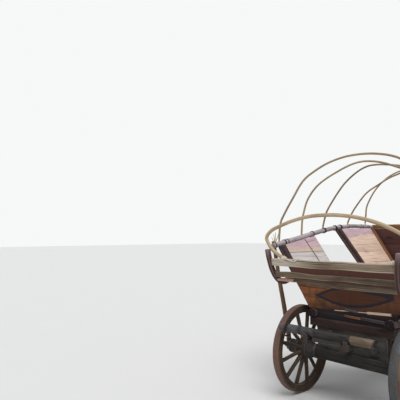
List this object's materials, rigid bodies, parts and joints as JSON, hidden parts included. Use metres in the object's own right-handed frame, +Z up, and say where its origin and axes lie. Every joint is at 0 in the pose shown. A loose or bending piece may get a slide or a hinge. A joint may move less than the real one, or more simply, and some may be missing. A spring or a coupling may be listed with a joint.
{
  "type": "four-wheeled ladder wagon for oxen",
  "caption": "Four-wheeled wooden farm wagon with slanting plank sides, slatted rear rack, bent tilt bows, spoked wheels, steered fore-carriage and draught pole.",
  "frame": {"origin": "On the ground, at the middle of the length over the brake beam's links and the pole's tip, on the middle plane.", "axes": "+X forward along the pole, +Y to the wagon's left, +Z up."},
  "size_m": [5.3094, 2.055, 2.5537],
  "materials": {
    "aged_wood": "bare weathered grey",
    "pale_wood": "bare peeled pole",
    "brown_wood": "old brown paint, worn",
    "dark_wood": "dark, greasy and weathered",
    "painted_board": "orange-brown paint with a dark oval",
    "maroon_board": "dull dark red-brown paint",
    "iron": "worn grey with rust"
  },
  "bodies": {
    "wagon_body": {"bottom_rails": "pale_wood", "brake_arms": "dark_wood", "floor_boards": "aged_wood", "front_board": "maroon_board", "front_bolster": "dark_wood", "front_riser": "dark_wood", "left_side_boards": "aged_wood", "left_side_rungs": "brown_wood", "left_top_rail": "pale_wood", "mouth_ring": "pale_wood", "rack_arms": "brown_wood", "rack_slats": "aged_wood", "reach_pole": "dark_wood", "rear_axle": "dark_wood", "rear_axle_bed": "dark_wood", "rear_board": "painted_board", "rear_board_sill": "aged_wood", "rear_bolster": "dark_wood", "rear_hounds": "dark_wood", "rear_stays": "brown_wood", "right_side_boards": "aged_wood", "right_side_rungs": "brown_wood", "right_top_rail": "pale_wood", "side_battens": "brown_wood", "tilt_bows": "pale_wood"},
    "fore_carriage": {"front_axle": "dark_wood", "front_axle_bed": "dark_wood", "front_hounds": "dark_wood", "king_pin": "iron", "pole_bolt": "iron"},
    "brake": {"brake_beam": "dark_wood", "brake_beam_links": "iron"},
    "pole": {"pole": "pale_wood"},
    "rear_left_wheel": {"rear_left_hub": "dark_wood", "rear_left_tyre": "iron", "rear_left_wheel": "brown_wood"},
    "rear_right_wheel": {"rear_right_hub": "dark_wood", "rear_right_tyre": "iron", "rear_right_wheel": "brown_wood"},
    "front_left_wheel": {"front_left_hub": "dark_wood", "front_left_tyre": "iron", "front_left_wheel": "brown_wood"},
    "front_right_wheel": {"front_right_hub": "dark_wood", "front_right_tyre": "iron", "front_right_wheel": "brown_wood"}
  },
  "joints": [
    {"name": "rear_left_wheel_spin", "type": "hinge", "parent": "wagon_body", "child": "rear_left_wheel", "pos_m": [-2.17222, 0.576, 0.44], "axis": [0, 1, 0], "continuous": true},
    {"name": "rear_right_wheel_spin", "type": "hinge", "parent": "wagon_body", "child": "rear_right_wheel", "pos_m": [-2.17222, -0.576, 0.44], "axis": [0, 1, 0], "continuous": true},
    {"name": "front_left_wheel_spin", "type": "hinge", "parent": "fore_carriage", "child": "front_left_wheel", "pos_m": [-0.32222, 0.576, 0.4], "axis": [0, 1, 0], "continuous": true},
    {"name": "front_right_wheel_spin", "type": "hinge", "parent": "fore_carriage", "child": "front_right_wheel", "pos_m": [-0.32222, -0.576, 0.4], "axis": [0, 1, 0], "continuous": true},
    {"name": "steering", "type": "hinge", "parent": "wagon_body", "child": "fore_carriage", "pos_m": [-0.32222, 0, 0.5], "axis": [0, 0, 1], "range_deg": [-25, 25]},
    {"name": "pole_lift", "type": "hinge", "parent": "fore_carriage", "child": "pole", "pos_m": [0.03778, 0, 0.482], "axis": [0, -1, 0], "range_deg": [0, 22]},
    {"name": "brake_slide", "type": "slide", "parent": "wagon_body", "child": "brake", "axis": [1, 0, 0], "range_m": [0, 0.036]}
  ]
}
